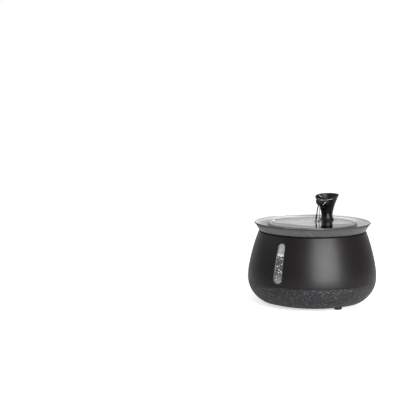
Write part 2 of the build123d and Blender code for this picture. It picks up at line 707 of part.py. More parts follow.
# ================================================================ filter
def filter_basket():
    """Funnel under the drain slots that leads the overflow to a slotted cup, round the riser."""
    t = BASKET_WALL
    funnel = revolved([
        (BASKET_R - 1.4, BASKET_TOP_Z),
        (BASKET_R, BASKET_TOP_Z),
        (BASKET_R, FUNNEL_EDGE_Z + 1.6),
        (BASKET_R - 2, FUNNEL_EDGE_Z),
        (FUNNEL_FOOT_R, FUNNEL_FOOT_Z),
        (FUNNEL_FOOT_R, FUNNEL_FOOT_Z + t),
        (BASKET_R - 3.4, FUNNEL_EDGE_Z + t),
        (BASKET_R - 1.4, FUNNEL_EDGE_Z + 3.4),
    ])
    cup = Pos(0, CUP_CENTRE_Y) * rod(CUP_R, CUP_LOW_Z, CUP_TOP_Z)
    chimney = Pos(0, SPOUT_Y) * rod(CHIMNEY_R, CHIMNEY_LOW_Z, CHIMNEY_TOP_Z)
    basket = funnel + cup + chimney
    basket -= Pos(0, CUP_CENTRE_Y) * rod(CUP_R - t, CUP_LOW_Z + t, BASKET_TOP_Z)
    basket -= Pos(0, SPOUT_Y) * rod(CHIMNEY_R - t, CUP_LOW_Z, BASKET_TOP_Z)
    slot = block((6.0, 38.0), (-1.4, 1.4), (CUP_LOW_Z - 1, CUP_LOW_Z + t + 1))
    return basket - [Pos(0, CUP_CENTRE_Y) * Rot(0, 0, 30 * turn + 15) * slot for turn in range(12)]


def filter_pad():
    low = CUP_LOW_Z + BASKET_WALL
    pad = rod(CUP_R - BASKET_WALL - 0.4, low, GRID_Z)
    pad = chamfer(pad.edges().filter_by(GeomType.CIRCLE), 1.6)
    return Pos(0, CUP_CENTRE_Y) * pad


def filter_grid():
    """Spoked ring that holds the pad down."""
    top = GRID_Z + 2.0
    rim_r = CUP_R - BASKET_WALL - 0.2
    grid = tube(rim_r, rim_r - 3.0, GRID_Z, top) + tube(14.0, 11.5, GRID_Z, top)
    grid += rod(4.5, GRID_Z, top + 4.0)
    spoke = block((3.5, rim_r - 2), (-0.9, 0.9), (GRID_Z, top))
    grid += [Rot(0, 0, 45 * turn) * spoke for turn in range(8)]
    return Pos(0, CUP_CENTRE_Y) * grid


# ================================================================ export
PIECES = {
    "base_shell": base_shell,
    "body_shell": body_shell,
    "window_lens": window_lens,
    "window_gasket": window_gasket,
    "base_screws": base_screws,
    "power_inlet": power_inlet,
    "control_board": control_board,
    "board_screws": board_screws,
    "transmitter_coil": transmitter_coil,
    "coil_ferrite": coil_ferrite,
    "coil_leads": coil_leads,
    "reservoir_tank": reservoir_tank,
    "tank_gasket": tank_gasket,
    "pump_housing": pump_housing,
    "pump_suction_cups": pump_suction_cups,
    "volute_cover": volute_cover,
    "shaft_bush_front": shaft_bush_front,
    "shaft_bush_rear": shaft_bush_rear,
    "impeller_shaft": impeller_shaft,
    "impeller": impeller,
    "rotor_magnet": rotor_magnet,
    "stator_core": stator_core,
    "stator_windings": stator_windings,
    "receiver_coil": receiver_coil,
    "riser_tube": riser_tube,
    "pump_cover": pump_cover,
    "pump_foam": pump_foam,
    "flow_dial": flow_dial,
    "drinking_bowl": drinking_bowl,
    "bowl_seal": bowl_seal,
    "spout_socket": spout_socket,
    "socket_nut": socket_nut,
    "socket_washer": socket_washer,
    "spout": spout,
    "spout_o_ring": spout_o_ring,
    "filter_basket": filter_basket,
    "filter_pad": filter_pad,
    "filter_grid": filter_grid,
}

os.makedirs("parts", exist_ok=True)
for node, make in PIECES.items():
    export_step(make(), f"parts/{node}.step")
for node, angle in FOOT_ANGLES.items():
    export_step(polar(FOOT_CIRCLE_R, angle) * foot(), f"parts/{node}.step")
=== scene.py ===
import json
import math
import random

import bmesh
import bpy
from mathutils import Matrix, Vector, noise


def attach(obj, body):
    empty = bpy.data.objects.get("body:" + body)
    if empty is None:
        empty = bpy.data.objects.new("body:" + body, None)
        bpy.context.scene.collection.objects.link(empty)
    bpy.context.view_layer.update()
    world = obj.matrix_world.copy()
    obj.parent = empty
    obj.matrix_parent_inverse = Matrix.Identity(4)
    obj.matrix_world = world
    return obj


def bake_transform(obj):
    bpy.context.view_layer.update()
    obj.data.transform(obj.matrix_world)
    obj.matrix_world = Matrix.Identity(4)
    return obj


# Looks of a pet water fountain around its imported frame. Metres; the window and the lip of the
# spout face -Y, the power inlet faces +Y.
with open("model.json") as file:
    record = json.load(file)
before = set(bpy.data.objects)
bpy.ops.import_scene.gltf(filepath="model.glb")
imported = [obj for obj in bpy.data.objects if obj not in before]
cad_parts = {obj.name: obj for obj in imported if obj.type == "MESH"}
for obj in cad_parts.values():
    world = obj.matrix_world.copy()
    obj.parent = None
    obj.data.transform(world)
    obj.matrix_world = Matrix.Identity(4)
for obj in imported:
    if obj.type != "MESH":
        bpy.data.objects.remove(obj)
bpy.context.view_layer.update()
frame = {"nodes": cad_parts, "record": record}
scene = bpy.context.scene
scene.view_settings.view_transform = "Standard"
MM = 0.001
HAIR = 0.01 * MM  # a point this near to a water level is on it

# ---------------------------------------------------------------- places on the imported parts
# reservoir and its window, whose ends are half circles of two radii
WATER_LEVEL_Z = 0.1026
TANK_FLOOR_Z = 0.0240
WINDOW_LOW_Z = 0.0630
WINDOW_HIGH_Z = 0.1191
WINDOW_LOW_R = 0.0098
WINDOW_HIGH_R = 0.0082
LIMESCALE_Z = (0.056, 0.071)

# heights between which the circuit board ends and the parts on it begin
BOARD_FACE_Z = (0.01318, 0.01324)

# arcs of the casing's outer line, from the foot up, and how far inside it the tank's wall lies
BELLY_R = 0.1214
BELLY_Z = 0.052
LOW_ARC_R = 0.0505
BELLY_ARC_R = 0.125
NECK_ARC_R = 0.340
BELLY_ARC_DEG = 10.1
TANK_INSIDE = 0.00625

# zones of the bowl, each by the two radii between which the look changes; in the dish, up the wall,
# under the flare and at the bead the change is painted shade
DISH_EDGE_R = (0.0855, 0.0865)
FLARE_R = (0.090, 0.094)
PAINTED_WALL_SHADE_R = (0.093, 0.099)
RUBBED_R = (0.1040, 0.1080)
PAINTED_BEAD_SHADE_R = (0.1078, 0.1088)
DISH_LEVEL_Z = 0.15395
DISH_WATER_R = 0.0816

# scoop of the spout
POOL_Y = 0.0516
POOL_LEVEL_Z = 0.1930
POOL_R = 0.0176
LANDING = Vector((-0.0005, 0.0192, 0.1540))

# falling water's two edges: where each leaves the lip, where it lands, and its sideways bow
HEAVY_STRAND = (Vector((-0.0026, 0.0270, 0.1844)), Vector((-0.0037, 0.0192, 0.1535)), -0.0002)
FINE_STRAND = (Vector((0.0003, 0.0270, 0.1840)), Vector((0.0026, 0.0192, 0.1535)), 0.0010)

# ---------------------------------------------------------------- camera and studio
CAMERA_PLACE = (1.1611, -1.9338, 0.4546)
CAMERA_TILT_DEG = 83.07
CAMERA_TURN_DEG = 36.0
LENS_MM = 103.8
AMBIENT = 0.45
NEAR_SIDE = 0.38
OVERHEAD = 0.76
BACKDROP = 0.78
FLOOR_LIFT = 0.62
KEY_AZIMUTH_DEG = 56.0
KEY_DISTANCE = 1.5
KEY_HEIGHT = 0.42
KEY_SIZE = (1.2, 1.3)
KEY_POWER = 64.0
FILL_AZIMUTH_DEG = -60.0
FILL_DISTANCE = 2.4
FILL_HEIGHT = 1.6
FILL_SIZE = (2.4, 1.8)
FILL_POWER = 8.0
SEED = 11


# ================================================================ material building blocks
class Nodes:
    """Short calls that add nodes to one tree."""

    def __init__(self, tree):
        self.tree = tree

    def node(self, kind, settings=None, **inputs):
        made = self.tree.nodes.new(kind)
        for key, value in (settings or {}).items():
            setattr(made, key, value)
        for socket, value in inputs.items():
            self.feed(made.inputs[socket.replace("_", " ")], value)
        return made

    def feed(self, socket, value):
        if isinstance(value, bpy.types.NodeSocket):
            self.tree.links.new(value, socket)
        else:
            socket.default_value = value

    def math(self, operation, first, second=0.0, clamp=False):
        made = self.node("ShaderNodeMath", {"operation": operation, "use_clamp": clamp})
        self.feed(made.inputs[0], first)
        self.feed(made.inputs[1], second)
        return made.outputs[0]

    def ramp(self, value, low, high, start, end):
        """Value between low and high, mapped to between start and end."""
        made = self.node(
            "ShaderNodeMapRange", Value=value, From_Min=low, From_Max=high, To_Min=start, To_Max=end
        )
        return made.outputs["Result"]

    def mix(self, share, none, all_of):
        """Number that goes from one to another by share."""
        return self.node("ShaderNodeMix", Factor=share, A=none, B=all_of).outputs["Result"]


class Look(Nodes):
    """One material: a Principled shader, and calls for the textures and colours that feed it."""

    def __init__(self, name, **constants):
        self.material = bpy.data.materials.new(name)
        self.material.use_nodes = True
        super().__init__(self.material.node_tree)
        self.shader = self.tree.nodes["Principled BSDF"]
        for socket, value in constants.items():
            self.shader.inputs[socket.replace("_", " ")].default_value = value

    def set(self, socket, value):
        self.feed(self.shader.inputs[socket], value)

    def place(self):
        return self.node("ShaderNodeTexCoord").outputs["Object"]

    def axes(self, vector):
        split = self.node("ShaderNodeSeparateXYZ", Vector=vector)
        return split.outputs["X"], split.outputs["Y"], split.outputs["Z"]

    def noise(self, vector, scale, detail=3.0, roughness=0.55):
        made = self.node(
            "ShaderNodeTexNoise", Vector=vector, Scale=scale, Detail=detail, Roughness=roughness
        )
        return made.outputs["Fac"]

    def tint(self, share, dark, light):
        """Colour between dark and light by share."""
        made = self.node("ShaderNodeMix", {"data_type": "RGBA"})
        self.feed(made.inputs["Factor"], share)
        made.inputs["A"].default_value = (*dark, 1.0)
        made.inputs["B"].default_value = (*light, 1.0)
        return made.outputs["Result"]

    def over(self, share, under, top):
        """One colour output laid over another by share."""
        made = self.node("ShaderNodeMix", {"data_type": "RGBA"})
        self.feed(made.inputs["Factor"], share)
        self.feed(made.inputs["A"], under)
        self.feed(made.inputs["B"], top if isinstance(top, bpy.types.NodeSocket) else (*top, 1.0))
        return made.outputs["Result"]

    def bump(self, height, depth, strength=1.0):
        made = self.node("ShaderNodeBump", Height=height, Distance=depth, Strength=strength)
        self.set("Normal", made.outputs["Normal"])

    def round_z(self, vector):
        """Turn, radius and height about the upright axis, for zones and machining lines."""
        x, y, z = self.axes(vector)
        turn = self.math("ARCTAN2", y, x)
        squares = self.math("ADD", self.math("MULTIPLY", x, x), self.math("MULTIPLY", y, y))
        radius = self.math("SQRT", squares)
        return turn, radius, z


def grey(value, warm=0.0):
    """Grey as red, green and blue, made warmer by a share."""
    return (value * (1 + warm), value, value * (1 - warm))


# ================================================================ materials
def moulded(name, colour, rough, grain_mm=0.6, depth=0.02, spec=0.35, vary=0.12):
    """Moulded plastic: fine spark-eroded grain, slow colour drift and rubbed patches."""
    look = Look(name, Specular_IOR_Level=spec)
    spot = look.place()
    drift = look.noise(spot, 18.0, 4.0)
    dark = tuple(c * (1 - vary) for c in colour)
    light = tuple(c * (1 + vary) for c in colour)
    look.set("Base Color", look.tint(drift, dark, light))
    grain = look.noise(spot, 1 / (grain_mm * MM), 2.0)
    rub = look.noise(spot, 45.0, 5.0, 0.65)
    look.set("Roughness", look.ramp(rub, 0.3, 0.7, rough * 0.86, rough * 1.14))
    look.bump(grain, depth * MM)
    return look.material


def speckled():
    """Dark plastic with pale flecks of several sizes pressed into a mottled ground."""
    look = Look("speckled_base", Specular_IOR_Level=0.3)
    spot = look.place()
    mottle = look.noise(spot, 520.0, 5.0, 0.7)
    ground = look.ramp(mottle, 0.36, 0.66, 0.0, 1.0)
    colour = look.tint(ground, (0.0054, 0.0043, 0.0056), (0.0116, 0.0100, 0.0122))
    bump_height = mottle
    # cells per metre, fleck size in its cell, share of cells left empty, and the fleck's grey
    kinds = ((760.0, 0.42, 0.86, 0.13), (900.0, 0.44, 0.91, 0.22), (560.0, 0.34, 0.965, 0.50))
    for scale, size, empty, light in kinds:
        warped = look.node("ShaderNodeVectorMath", {"operation": "ADD"})
        look.feed(warped.inputs[0], spot)
        shake = look.node("ShaderNodeTexNoise", Vector=spot, Scale=scale * 1.7, Detail=2.0)
        small = look.node("ShaderNodeVectorMath", {"operation": "SCALE"}, Scale=0.5 / scale)
        look.feed(small.inputs[0], shake.outputs["Color"])
        look.feed(warped.inputs[1], small.outputs[0])
        cells = look.node("ShaderNodeTexVoronoi", Vector=warped.outputs[0], Scale=scale)
        chosen = look.axes(cells.outputs["Color"])[0]
        inside = look.ramp(cells.outputs["Distance"], size * 0.7, size, 1.0, 0.0)
        picked = look.math("GREATER_THAN", chosen, empty)
        fleck = look.math("MULTIPLY", inside, picked)
        brightness = look.axes(cells.outputs["Color"])[1]
        fleck = look.math("MULTIPLY", fleck, look.ramp(brightness, 0.0, 1.0, 0.45, 1.0))
        colour = look.over(fleck, colour, grey(light, 0.01))
        bump_height = look.math("ADD", bump_height, fleck)
    look.set("Base Color", colour)
    look.set("Roughness", look.ramp(mottle, 0.3, 0.7, 0.42, 0.58))
    look.bump(bump_height, 0.05 * MM)
    return look.material


def satin_black():
    """Shell of the casing: near-black satin with a fine grain."""
    look = Look("shell_satin_black", Specular_IOR_Level=0.26)
    spot = look.place()
    drift = look.noise(spot, 9.0, 3.0)
    look.set("Base Color", look.tint(drift, (0.0024, 0.0014, 0.0022), (0.0034, 0.0023, 0.0032)))
    grain = look.noise(spot, 2600.0, 2.0)
    smear = look.noise(spot, 30.0, 4.0, 0.6)
    look.set("Roughness", look.ramp(smear, 0.3, 0.7, 0.35, 0.39))
    look.bump(grain, 0.008 * MM)
    return look.material


def brushed_steel_painted_shade():
    """Pressed sheet, brushed round its axis: pale in the moat. Painted shade makes it duller in the
    dish and over its ridge, a little darker up the wall, dark on the flare's underside and near black
    at the bead; it is rougher where rubbed towards the bead.
    """
    look = Look("brushed_steel_painted_shade", Metallic=1.0, Anisotropic=0.45)
    spot = look.place()
    turn, radius, height = look.round_z(spot)
    lines = look.node("ShaderNodeCombineXYZ")
    fine = 1500.0
    look.feed(lines.inputs["X"], look.math("MULTIPLY", turn, 1.6))
    look.feed(lines.inputs["Y"], look.math("MULTIPLY", radius, fine))
    look.feed(lines.inputs["Z"], look.math("MULTIPLY", height, fine))
    streaks = look.noise(lines.outputs[0], 1.0, 4.0, 0.6)
    colour = look.tint(look.ramp(streaks, 0.25, 0.75, 0.0, 1.0), grey(0.86), grey(0.95, 0.002))
    # painted shade: the wall is coloured darker than the moat, standing in for the dimmer reflection up
    # the wall
    wall = look.ramp(radius, *PAINTED_WALL_SHADE_R, 0.0, 1.0)
    colour = look.over(wall, colour, look.tint(streaks, grey(0.80), grey(0.89)))
    # painted shade: faces that turn downwards in the flare are coloured dark, as shade under the flare
    facing = look.axes(look.node("ShaderNodeNewGeometry").outputs["Normal"])[2]
    under = look.ramp(facing, -0.05, -0.35, 0.0, 1.0)
    flare_painted_shade = look.math("MULTIPLY", under, look.ramp(radius, *FLARE_R, 0.0, 1.0))
    colour = look.over(flare_painted_shade, colour, look.tint(streaks, grey(0.105), grey(0.205)))
    # painted shade: the rolled bead at the rim is coloured near black, as the shade of its rolled edge
    bead = look.ramp(radius, *PAINTED_BEAD_SHADE_R, 0.0, 1.0)
    colour = look.over(bead, colour, grey(0.07))
    # painted shade: the dish and its ridge are coloured dark, which hides the key light's glint on the
    # ridge and darkens the water above them
    dish_painted_shade = look.ramp(radius, *DISH_EDGE_R, 1.0, 0.0)
    colour = look.over(dish_painted_shade, colour, look.tint(streaks, grey(0.13), grey(0.21)))
    look.set("Base Color", colour)
    worn = look.noise(spot, 60.0, 5.0, 0.6)
    wear = look.math("ADD", look.math("MULTIPLY", streaks, 0.5), worn)
    rubbed = look.math("MULTIPLY", look.ramp(radius, *RUBBED_R, 0.0, 1.0), 0.35)
    look.set("Roughness", look.math("ADD", look.ramp(wear, 0.5, 1.0, 0.24, 0.36), rubbed))
    look.bump(streaks, 0.012 * MM)
    return look.material


def gloss_black():
    """Half-gloss black plastic of the spout, with faint water marks."""
    look = Look("spout_gloss_black", Specular_IOR_Level=0.25)
    spot = look.place()
    drift = look.noise(spot, 60.0, 4.0)
    look.set("Base Color", look.tint(drift, (0.0012, 0.0012, 0.0014), (0.0024, 0.0023, 0.0026)))
    marks = look.noise(spot, 90.0, 3.0)
    look.set("Roughness", look.ramp(marks, 0.3, 0.7, 0.32, 0.38))
    look.bump(look.noise(spot, 2600.0, 2.0), 0.004 * MM)
    return look.material


def rubber(name, value):
    """Soft black rubber with dust in its grain."""
    look = Look(name, Specular_IOR_Level=0.25, Sheen_Weight=0.08)
    spot = look.place()
    dust = look.noise(spot, 120.0, 6.0, 0.7)
    dusty = look.ramp(dust, 0.45, 0.75, 0.0, 1.0)
    look.set("Base Color", look.tint(dusty, grey(value), grey(value * 2.0, 0.02)))
    look.set("Roughness", look.ramp(dust, 0.3, 0.7, 0.62, 0.85))
    look.bump(look.noise(spot, 1800.0, 3.0), 0.03 * MM)
    return look.material


def window_distance(look, spot):
    """Distance outwards from the line between the centres of the window's ends, less its half width."""
    x, z = look.axes(spot)[::2]
    share = look.ramp(z, WINDOW_LOW_Z, WINDOW_HIGH_Z, 0.0, 1.0)
    centre = look.ramp(share, 0.0, 1.0, WINDOW_LOW_Z, WINDOW_HIGH_Z)
    half = look.ramp(share, 0.0, 1.0, WINDOW_LOW_R, WINDOW_HIGH_R)
    rise = look.math("SUBTRACT", z, centre)
    squares = look.math("ADD", look.math("MULTIPLY", x, x), look.math("MULTIPLY", rise, rise))
    reach = look.math("SQRT", squares)
    return look.math("SUBTRACT", reach, half)


def clear_lens():
    """Clear moulding with a frosted land round its edge, made lighter there as a painted highlight of
    the bevel.
    """
    look = Look("window_clear", Specular_IOR_Level=0.5)
    spot = look.place()
    edge = window_distance(look, spot)
    # the land is frosted, and its extra cloudiness is also a painted highlight of the bevel
    land_frost_and_highlight = look.ramp(edge, -0.0026, -0.0018, 0.0, 1.0)
    haze = look.noise(spot, 420.0, 4.0)
    look.set("Base Color", look.tint(haze, grey(0.28), grey(0.40)))
    cloud = look.ramp(haze, 0.3, 0.7, 0.03, 0.06)
    look.set("Alpha", look.math("ADD", cloud, look.math("MULTIPLY", land_frost_and_highlight, 0.16), clamp=True))
    look.set("Roughness", look.ramp(land_frost_and_highlight, 0.0, 1.0, 0.08, 0.35))
    look.bump(haze, 0.02 * MM)
    return look.material


def tank_plastic():
    """See-through grey plastic: fogged above the water line, frothy at it, clear below, and furred
    with limescale at the foot.
    """
    look = Look("tank_translucent", Specular_IOR_Level=0.4)
    spot = look.place()
    height = look.axes(spot)[2]
    ragged = look.noise(spot, 210.0, 3.0)
    level = look.math("ADD", height, look.ramp(ragged, 0.3, 0.7, -0.9 * MM, 0.9 * MM))
    fog = look.ramp(level, WATER_LEVEL_Z + 0.3 * MM, WATER_LEVEL_Z + 0.9 * MM, 0.0, 1.0)
    patchy = look.ramp(ragged, 0.35, 0.65, 0.75, 1.0)
    scale_band = look.math("MULTIPLY", look.ramp(height, *LIMESCALE_Z, 1.0, 0.0), patchy)
    cover = look.math("MAXIMUM", fog, look.math("MULTIPLY", scale_band, 0.7))
    drops = look.node("ShaderNodeTexVoronoi", Vector=spot, Scale=900.0).outputs["Distance"]
    colour = look.tint(drops, grey(0.24), grey(0.33))
    froth = look.ramp(look.noise(spot, 430.0, 2.0), 0.42, 0.66, 0.0, 1.0)
    band_top = look.ramp(height, WATER_LEVEL_Z + 4.0 * MM, WATER_LEVEL_Z + 5.5 * MM, 1.0, 0.0)
    band_foot = look.ramp(height, WATER_LEVEL_Z - 2.0 * MM, WATER_LEVEL_Z - 1.0 * MM, 0.0, 1.0)
    band = look.math("MULTIPLY", band_top, band_foot)
    colour = look.over(band, colour, look.tint(froth, grey(0.34), grey(0.88)))
    line_foot = look.ramp(level, WATER_LEVEL_Z - 1.2 * MM, WATER_LEVEL_Z - 0.8 * MM, 0.0, 1.0)
    line = look.math("MULTIPLY", line_foot, look.math("SUBTRACT", 1.0, fog))
    colour = look.over(line, colour, grey(0.012))
    look.set("Base Color", colour)
    look.set("Alpha", look.ramp(look.math("MAXIMUM", cover, line), 0.0, 1.0, 0.07, 0.96))
    look.set("Roughness", look.ramp(cover, 0.0, 1.0, 0.10, 0.5))
    look.bump(drops, 0.05 * MM)
    return look.material


def pale_plastic(name, value, alpha=1.0):
    """Pale moulded plastic that lets a little light in."""
    look = Look(
        name, Specular_IOR_Level=0.45, Alpha=alpha, Subsurface_Weight=0.05, Subsurface_Scale=2 * MM
    )
    spot = look.place()
    flow = look.noise(spot, 40.0, 4.0)
    look.set("Base Color", look.tint(flow, grey(value * 0.9), grey(value, 0.01)))
    look.set("Roughness", look.ramp(flow, 0.3, 0.7, 0.2, 0.34))
    look.bump(look.noise(spot, 900.0, 2.0), 0.01 * MM)
    return look.material


def clear_water(name, tint=0.97):
    """Clear water, whose faint tint deepens as the number falls."""
    look = Look(name, Transmission_Weight=1.0, IOR=1.333, Roughness=0.01)
    spot = look.place()
    swirl = look.noise(spot, 55.0, 3.0)
    look.set("Base Color", look.tint(swirl, (tint * 0.96, tint * 0.98, tint), (tint, tint, tint)))
    look.bump(look.noise(spot, 60.0, 2.0), 0.03 * MM, 0.4)
    return look.material


def reservoir_water_painted_dark():
    """Water standing in the reservoir, painted dark as shade for the dim inside of the housing, darker
    than the fogged wall above it.
    """
    look = Look("reservoir_water", Specular_IOR_Level=0.5, Alpha=0.82)
    spot = look.place()
    cloud = look.noise(spot, 150.0, 4.0)
    look.set("Base Color", look.tint(cloud, (0.010, 0.010, 0.011), (0.030, 0.030, 0.032)))
    look.set("Roughness", look.ramp(cloud, 0.3, 0.7, 0.05, 0.16))
    look.bump(cloud, 0.3 * MM, 0.5)
    return look.material


def bubble_white(name, colour, alpha=1.0, glow=0.0):
    """Bubbles and glints of water, coloured pale; glow gives them a painted glow of their own, though
    they are no lamp.
    """
    look = Look(name, Specular_IOR_Level=0.6, Alpha=alpha, Emission_Strength=glow)
    look.set("Emission Color", (*colour, 1.0))
    spot = look.place()
    froth = look.noise(spot, 700.0, 2.0)
    look.set("Base Color", look.tint(froth, tuple(c * 0.82 for c in colour), colour))
    look.set("Roughness", look.ramp(froth, 0.3, 0.7, 0.08, 0.25))
    return look.material


def painted_dark_water():
    """Strand of water painted nearly black: painted shade standing in for the dark things a real strand
    bends into view.
    """
    look = Look("strand_water_painted_dark", Specular_IOR_Level=0.12, Roughness=0.3)
    spot = look.place()
    beads = look.noise(spot, 260.0, 2.0)
    look.set("Base Color", look.tint(look.ramp(beads, 0.45, 0.75, 0.0, 1.0), grey(0.003), grey(0.04)))
    look.set("Alpha", look.ramp(beads, 0.45, 0.75, 1.0, 0.8))
    look.bump(beads, 0.1 * MM)
    return look.material


def wound_wire():
    """Enamelled copper with its strands across the winding."""
    look = Look("enamelled_copper", Metallic=0.85, Coat_Weight=0.4, Coat_Roughness=0.2)
    spot = look.place()
    across = {"bands_direction": "Y"}
    wave = look.node("ShaderNodeTexWave", across, Vector=spot, Scale=900.0, Distortion=1.5)
    strands = wave.outputs["Fac"]
    look.set("Base Color", look.tint(strands, (0.28, 0.09, 0.03), (0.75, 0.32, 0.13)))
    look.set("Roughness", look.ramp(strands, 0.0, 1.0, 0.42, 0.26))
    look.bump(strands, 0.08 * MM)
    return look.material


def circuit_board():
    """Lacquered board with tracks under the lacquer and dark parts on it."""
    look = Look("circuit_board", Coat_Weight=0.5, Coat_Roughness=0.15)
    spot = look.place()
    tracks = look.node("ShaderNodeTexBrick", Vector=spot, Scale=260.0)
    lacquer = look.tint(look.noise(spot, 300.0), (0.01, 0.09, 0.035), (0.02, 0.14, 0.06))
    green = look.over(look.ramp(tracks.outputs["Fac"], 0.4, 0.6, 0.0, 0.6), lacquer, (0.10, 0.30, 0.12))
    parts = look.ramp(look.axes(spot)[2], *BOARD_FACE_Z, 0.0, 1.0)
    look.set("Base Color", look.over(parts, green, (0.03, 0.03, 0.032)))
    look.set("Roughness", look.ramp(tracks.outputs["Fac"], 0.0, 1.0, 0.3, 0.45))
    look.bump(tracks.outputs["Fac"], 0.03 * MM)
    return look.material


def worked_metal(name, value, rough, lines=1200.0):
    """Turned or plated metal with fine machining lines."""
    look = Look(name, Metallic=1.0)
    spot = look.place()
    radius, height = look.round_z(spot)[1:]
    cut = look.node("ShaderNodeCombineXYZ")
    look.feed(cut.inputs["X"], look.math("MULTIPLY", radius, lines))
    look.feed(cut.inputs["Y"], look.math("MULTIPLY", height, lines))
    marks = look.noise(cut.outputs[0], 1.0, 3.0)
    look.set("Base Color", look.tint(marks, grey(value * 0.8), grey(value)))
    look.set("Roughness", look.ramp(marks, 0.3, 0.7, rough * 0.8, rough * 1.25))
    look.bump(marks, 0.02 * MM)
    return look.material


def mineral(name, value, rough, grain=1400.0):
    """Sintered or ground mineral: ferrite, magnet, ceramic."""
    look = Look(name, Specular_IOR_Level=0.5)
    spot = look.place()
    specks = look.noise(spot, grain, 4.0, 0.7)
    look.set("Base Color", look.tint(specks, grey(value * 0.8), grey(value * 1.1)))
    look.set("Roughness", look.ramp(specks, 0.3, 0.7, rough * 0.85, rough * 1.15))
    look.bump(specks, 0.02 * MM)
    return look.material


def porous(name, dark, light, cell, depth_mm):
    """Open foam or needled felt."""
    look = Look(name, Specular_IOR_Level=0.15, Sheen_Weight=0.3)
    spot = look.place()
    holes = look.node("ShaderNodeTexVoronoi", Vector=spot, Scale=cell).outputs["Distance"]
    fibres = look.noise(spot, cell * 2.6, 5.0, 0.75)
    both = look.math("MULTIPLY", holes, fibres)
    look.set("Base Color", look.tint(look.ramp(both, 0.05, 0.35, 0.0, 1.0), dark, light))
    look.set("Roughness", look.ramp(fibres, 0.3, 0.7, 0.8, 0.98))
    look.bump(both, depth_mm * MM)
    return look.material


# ================================================================ meshes
def shown(name, vertices, faces, material):
    """Smooth-shaded object from vertices and faces, with its faces turned outwards."""
    mesh = bpy.data.meshes.new(name)
    mesh.from_pydata([tuple(v) for v in vertices], [], faces)
    mesh.validate()
    work = bmesh.new()
    work.from_mesh(mesh)
    bmesh.ops.recalc_face_normals(work, faces=work.faces)
    work.to_mesh(mesh)
    work.free()
    for face in mesh.polygons:
        face.use_smooth = True
    mesh.materials.append(material)
    made = bpy.data.objects.new(name, mesh)
    scene.collection.objects.link(made)
    return made


def between_rings(rings, around):
    """Quads that join each ring of vertices to the next one."""
    faces = []
    for ring in range(rings - 1):
        low, high = ring * around, (ring + 1) * around
        for step in range(around):
            after = (step + 1) % around
            faces.append((low + step, low + after, high + after, high + step))
    return faces


def capped_rings(rings, around):
    """Quads between rings, and one flat face over each end."""
    ends = [tuple(range(around)), tuple((rings - 1) * around + step for step in range(around))]
    return between_rings(rings, around) + ends


def together(name, pieces, material):
    """Many separate closed shapes in one mesh, from (vertices, faces) pairs."""
    vertices, faces = [], []
    for own_vertices, own_faces in pieces:
        start = len(vertices)
        vertices += own_vertices
        faces += [tuple(start + index for index in face) for face in own_faces]
    return shown(name, vertices, faces, material)


def lathe(name, outline, material, around, lift, centre=(0.0, 0.0)):
    """Closed solid of revolution from (radius, height) points that start and end on the axis.

    lift moves each point up by a function of its place.
    """
    def raised(x, y, height):
        return (x, y, height + lift(x, y, height))

    rings = [p for p in outline if p[0] > 0.0]
    vertices = []
    for radius, height in rings:
        for step in range(around):
            angle = 2 * math.pi * step / around
            x = centre[0] + radius * math.cos(angle)
            y = centre[1] + radius * math.sin(angle)
            vertices.append(raised(x, y, height))
    faces = between_rings(len(rings), around)
    for pole, ring in ((outline[0], 0), (outline[-1], len(rings) - 1)):
        vertices.append(raised(centre[0], centre[1], pole[1]))
        tip = len(vertices) - 1
        for step in range(around):
            faces.append((ring * around + step, ring * around + (step + 1) % around, tip))
    return shown(name, vertices, faces, material)


def blob(centre, radii, around=10, rings=7):
    """Vertices and faces of one small ellipsoid."""
    vertices = []
    for ring in range(1, rings):
        polar_angle = math.pi * ring / rings
        for step in range(around):
            angle = 2 * math.pi * step / around
            vertices.append((
                centre[0] + radii[0] * math.sin(polar_angle) * math.cos(angle),
                centre[1] + radii[1] * math.sin(polar_angle) * math.sin(angle),
                centre[2] + radii[2] * math.cos(polar_angle),
            ))
    faces = between_rings(rings - 1, around)
    top, bottom = len(vertices), len(vertices) + 1
    vertices.append((centre[0], centre[1], centre[2] + radii[2]))
    vertices.append((centre[0], centre[1], centre[2] - radii[2]))
    for step in range(around):
        after = (step + 1) % around
        faces.append((top, step, after))
        faces.append((bottom, (rings - 2) * around + after, (rings - 2) * around + step))
    return vertices, faces


def curve_through(points_mm, steps):
    """Smooth curve through points given in millimetres, with a number of steps between each two."""
    points = [Vector(p) * MM for p in points_mm]
    points = [2 * points[0] - points[1]] + points + [2 * points[-1] - points[-2]]
    curve = []
    for index in range(1, len(points) - 2):
        before, start, end, after = points[index - 1:index + 3]
        for step in range(steps):
            t = step / steps
            curve.append(0.5 * (
                2 * start + (end - before) * t
                + (2 * before - 5 * start + 4 * end - after) * t ** 2
                + (3 * start - before - 3 * end + after) * t ** 3
            ))
    return curve + [points[-2]]


def thread(curve, radius_at, around=10):
    """Vertices and faces of one round thread along a curve; radius_at gives its radius by share."""
    vertices = []
    for index, point in enumerate(curve):
        ahead = curve[min(index + 1, len(curve) - 1)]
        behind = curve[max(index - 1, 0)]
        along = (ahead - behind).normalized()
        across = along.cross(Vector((0.3, 1.0, 0.2))).normalized()
        third = along.cross(across)
        radius = radius_at(index / (len(curve) - 1))
        for step in range(around):
            angle = 2 * math.pi * step / around
            vertices.append(point + (across * math.cos(angle) + third * math.sin(angle)) * radius)
    return vertices, capped_rings(len(curve), around)


# ================================================================ water
def ripple(x, y):
    """Height of the rings that run out from where the stream lands."""
    reach = math.hypot(x - LANDING.x, y - LANDING.y)
    rings = math.sin(reach / (3.1 * MM) * math.pi)
    near = 0.20 * MM * math.exp(-reach / (7 * MM))
    far = 0.03 * MM * math.exp(-reach / (22 * MM))
    swell = noise.noise(Vector((x, y, 0.0)) * 38.0)
    return (near + far) * rings + 0.03 * MM * swell


